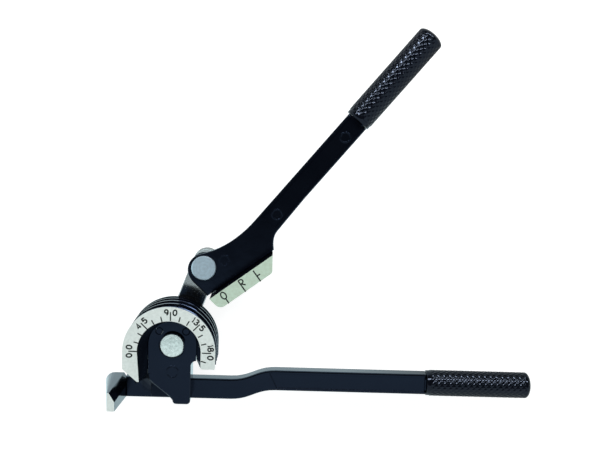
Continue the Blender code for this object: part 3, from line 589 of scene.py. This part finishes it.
def ribbon(path, width, low, high):
    """A closed strip along a path in the plan: its sides stand half the width off the path's normals."""
    path = np.asarray(path, float)
    closed = len(path) > 2 and np.allclose(path[0], path[-1])
    if closed:
        path = path[:-1]
        ahead = np.roll(path, -1, 0) - path
        behind = path - np.roll(path, 1, 0)
    else:
        ahead = np.vstack([np.diff(path, axis=0), path[-1:] - path[-2:-1]])
        behind = np.vstack([path[1:2] - path[:1], np.diff(path, axis=0)])
    ahead /= np.linalg.norm(ahead, axis=1, keepdims=True)
    behind /= np.linalg.norm(behind, axis=1, keepdims=True)
    tangent = ahead + behind
    tangent /= np.linalg.norm(tangent, axis=1, keepdims=True)
    stretch = 1 / np.clip((tangent * ahead).sum(1, keepdims=True), 0.6, 1)
    side = np.column_stack([-tangent[:, 1], tangent[:, 0]]) * width / 2 * stretch
    left, right = path + side, path - side
    count = len(path)
    levels = [np.column_stack([edge, np.full(count, level)]) for edge, level in (
        (left, low), (right, low), (right, high), (left, high))]
    points = np.stack(levels, axis=1).reshape(-1, 3)
    spans = count if closed else count - 1
    row, corner = np.meshgrid(np.arange(spans), np.arange(4), indexing="ij")
    following = (row + 1) % count
    turn = (corner + 1) % 4
    faces = np.stack([row * 4 + corner, row * 4 + turn, following * 4 + turn, following * 4 + corner], axis=-1)
    faces = faces.reshape(-1, 4).tolist()
    if not closed:
        faces += [[3, 2, 1, 0], [4 * count - 4, 4 * count - 3, 4 * count - 2, 4 * count - 1]]
    return points, faces


def marks(name, strokes, low, high):
    """One mesh of all the strokes, each a path and a width, between two heights."""
    points, faces, start = [], [], 0
    for path, width in strokes:
        more_points, more_faces = ribbon(path, width, low, high)
        points.append(more_points)
        faces += [[corner + start for corner in face] for face in more_faces]
        start += len(more_points)
    return put(name, np.vstack(points), faces, smooth=False)


def placed(paths, middle, up, size):
    """Glyph paths with their middle at a place, their heads towards up and the given width and height."""
    up = np.asarray(up, float) / np.linalg.norm(up)
    right = np.array([up[1], -up[0]])
    return [middle + np.outer(path[:, 0] * size[0], right) + np.outer((path[:, 1] - 0.5) * size[1], up)
            for path in paths]


def dial_direction(angle):
    """Unit direction of an angle on the scale, which starts at the left and runs over the top."""
    turn = math.radians(180 - angle)
    return np.array([math.cos(turn), math.sin(turn)])


dial_strokes = []
for angle in range(0, last_angle + 1, tick_step):
    direction = dial_direction(angle)
    reach = tick_long if angle % number_step == 0 else tick_short
    dial_strokes.append((np.array([scale_centre + tick_inner * direction, scale_centre + reach * direction]),
                         tick_width))
for glyph, angle in (
        ("0", -6.0), ("0", 6.0), ("4", 39.2), ("5", 51.0), ("9", 84.3), ("0", 96.2), ("1", 124.2), ("3", 129.8),
        ("5", 141.2), ("1", 169.3), ("8", 174.6), ("0", 186.6)):
    direction = dial_direction(angle)
    for path in placed(glyphs[glyph], scale_centre + number_middle * direction, direction, number_size):
        dial_strokes.append((path, stroke_width))
dial_marks = marks("dial_scale", dial_strokes, dial_plane - mark_sink, dial_plane + mark_rise)
lacquer, tree, shader = finish_named("dark_lacquer")
place = add(tree, "ShaderNodeTexCoord").outputs["Object"]
cloud = noise(tree, place, lacquer_cloud_scale, 3.0)
tree.links.new(blend_of(tree, cloud, lacquer_colour, lacquer_cloud_colour), shader.inputs["Base Color"])
lacquer_matt = sum_of(tree, "MULTIPLY_ADD", cloud, lacquer_rough_drift, lacquer_rough)
tree.links.new(lacquer_matt, shader.inputs["Roughness"])
shader.inputs["IOR"].default_value = lacquer_index
dial_marks.data.materials.append(lacquer)
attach(dial_marks, "lower")

# The marks on the shoe: three lines across its bare face with the letters that show where each bend begins,
# stamped and filled like the dial.
shoe_tilt = 13.6
shoe_turn = math.radians(arm_angle - shoe_tilt)
shoe_along = np.array([math.cos(shoe_turn), math.sin(shoe_turn)])
shoe_out = np.array([math.sin(shoe_turn), -math.cos(shoe_turn)])
shoe_edge = 0.02655
letter_head = 0.018
letter_foot = 0.0228
zero_place, zero_width, bowl_width, leg_width = 0.0025, 0.0032, 0.0026, 0.0024
right_place, left_place = 0.01565, 0.0274
bowl_foot = 0.0207
bowl_stretch = 1.15
slant_start = 0.4
foot_lift = 0.0004
shoe_stroke = stroke_width * 0.92


def on_shoe(path):
    """A path given along the working edge and outwards from the pivot, laid out in the plan."""
    path = np.asarray(path, float)
    return np.array(upper_pivot[:2]) + np.outer(path[:, 0], shoe_along) + np.outer(path[:, 1], shoe_out)


letter_middle = (letter_head + letter_foot) / 2
bowl_middle = (letter_head + bowl_foot) / 2
bowl_half = (bowl_foot - letter_head) / 2
bowl_reach = bowl_half * bowl_stretch
bowl_start = right_place + bowl_width - bowl_reach
bowl = np.vstack([[[right_place, letter_head]],
                  arc_points(bowl_start, bowl_middle, bowl_reach, bowl_half, -90, 90),
                  [[right_place, bowl_foot]]])
shoe_paths = [
    arc_points(zero_place, letter_middle, zero_width / 2, letter_middle - letter_head, 0, 360, 29),
    [[zero_place, letter_foot], [zero_place, shoe_edge]],
    [[right_place, letter_head], [right_place, shoe_edge]],
    bowl,
    [[bowl_start - bowl_half * slant_start, bowl_foot], [right_place + bowl_width, letter_foot]],
    [[left_place, letter_head], [left_place, shoe_edge]],
    [[left_place, letter_foot - foot_lift], [left_place + leg_width, letter_foot - foot_lift]],
]
shoe_strokes = [(on_shoe(path), shoe_stroke) for path in shoe_paths]
shoe_marks = marks("shoe_scale", shoe_strokes, dial_plane - mark_sink, dial_plane + mark_rise)
shoe_marks.data.materials.append(lacquer)
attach(shoe_marks, "upper")
